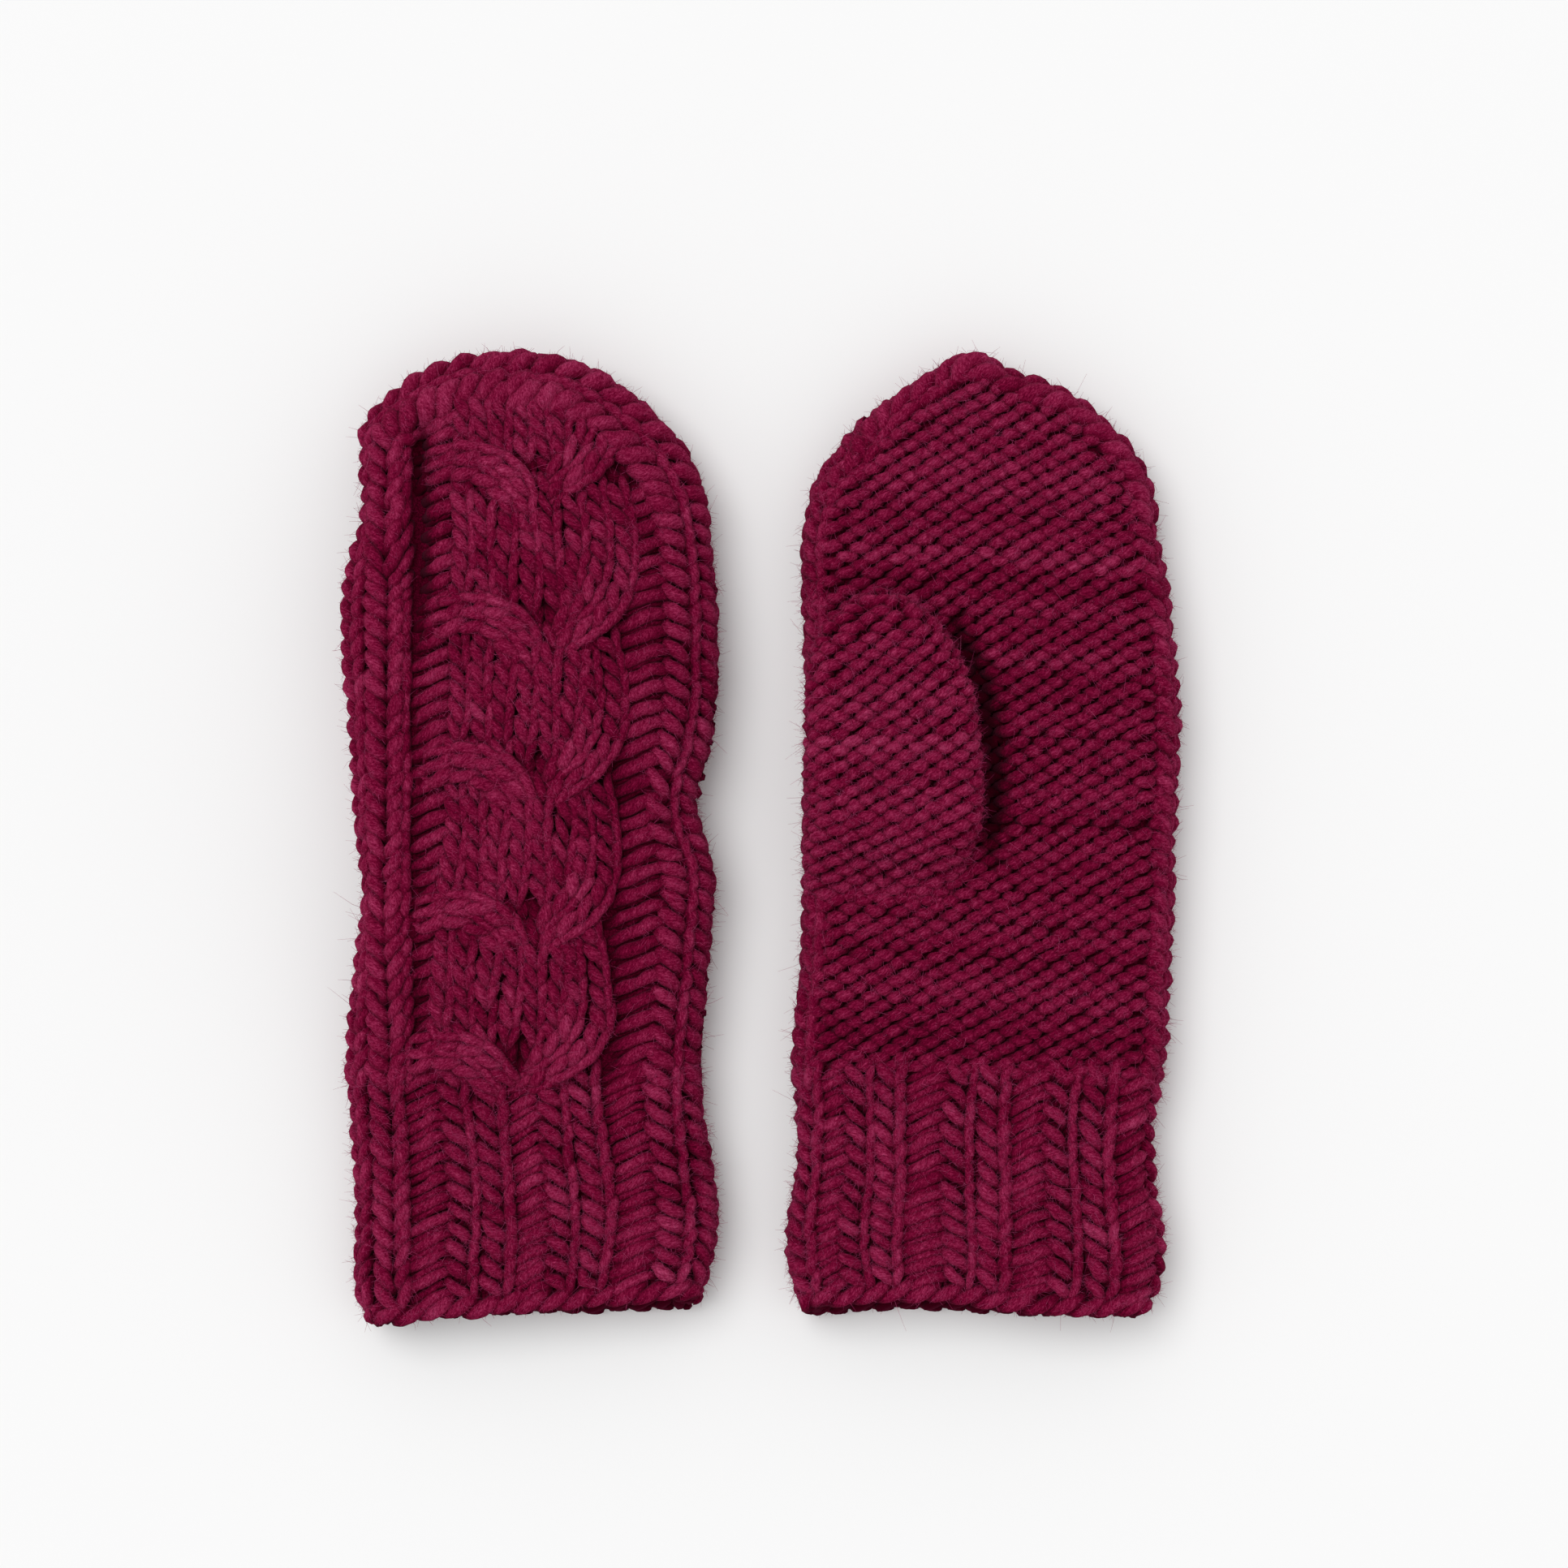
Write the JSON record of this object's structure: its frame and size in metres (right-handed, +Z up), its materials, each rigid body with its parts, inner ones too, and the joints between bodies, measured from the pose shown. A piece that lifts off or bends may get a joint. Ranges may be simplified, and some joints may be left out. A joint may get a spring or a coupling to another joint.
{
  "type": "pair of mittens",
  "caption": "Pair of chunky cable-knit wool mittens with ribbed cuffs, folded thumbs and a dark fleece lining, laid flat side by side.",
  "frame": {"origin": "centre of the pair's footprint, on the surface the mittens lie on", "axes": "+Y from the hems to the fingertips, +X from the right-hand mitten to the left-hand one, +Z up out of the surface"},
  "size_m": [0.2424, 0.281, 0.0389],
  "materials": {
    "wool": "matt, fuzzy hand-knitted wool",
    "fleece": "matt brushed fleece",
    "thread": "matt sewing thread"
  },
  "bodies": {
    "left_hand": {"left_hem_edge": "wool", "left_rib_cuff": "wool", "left_back_panel": "wool", "left_back_cable": "wool", "left_palm_panel": "wool", "left_thumb_side_band": "wool", "left_outer_side_band": "wool", "left_crown_band": "wool", "left_thumb_join": "wool", "left_lining_back": "fleece", "left_lining_palm": "fleece", "left_lining_seam": "thread"},
    "left_thumb": {"left_thumb_shell": "wool", "left_lining_thumb": "fleece"},
    "right_hand": {"right_hem_edge": "wool", "right_rib_cuff": "wool", "right_back_panel": "wool", "right_back_cable": "wool", "right_palm_panel": "wool", "right_thumb_side_band": "wool", "right_outer_side_band": "wool", "right_crown_band": "wool", "right_thumb_join": "wool", "right_lining_back": "fleece", "right_lining_palm": "fleece", "right_lining_seam": "thread"},
    "right_thumb": {"right_thumb_shell": "wool", "right_lining_thumb": "fleece"}
  },
  "joints": [
    {"name": "left_thumb_swing", "type": "hinge", "parent": "left_hand", "child": "left_thumb", "pos_m": [0.0392, 0.0035, 0.0319], "axis": [0, 0, 1], "range_deg": [-25, 36]},
    {"name": "right_mitten_lift", "type": "slide", "parent": "left_hand", "child": "right_hand", "axis": [0, 0, 1], "range_m": [0, 0.15]},
    {"name": "right_thumb_swing", "type": "hinge", "parent": "right_hand", "child": "right_thumb", "pos_m": [-0.0952, 0.0035, 0.007], "axis": [0, 0, 1], "range_deg": [-25, 36]}
  ]
}
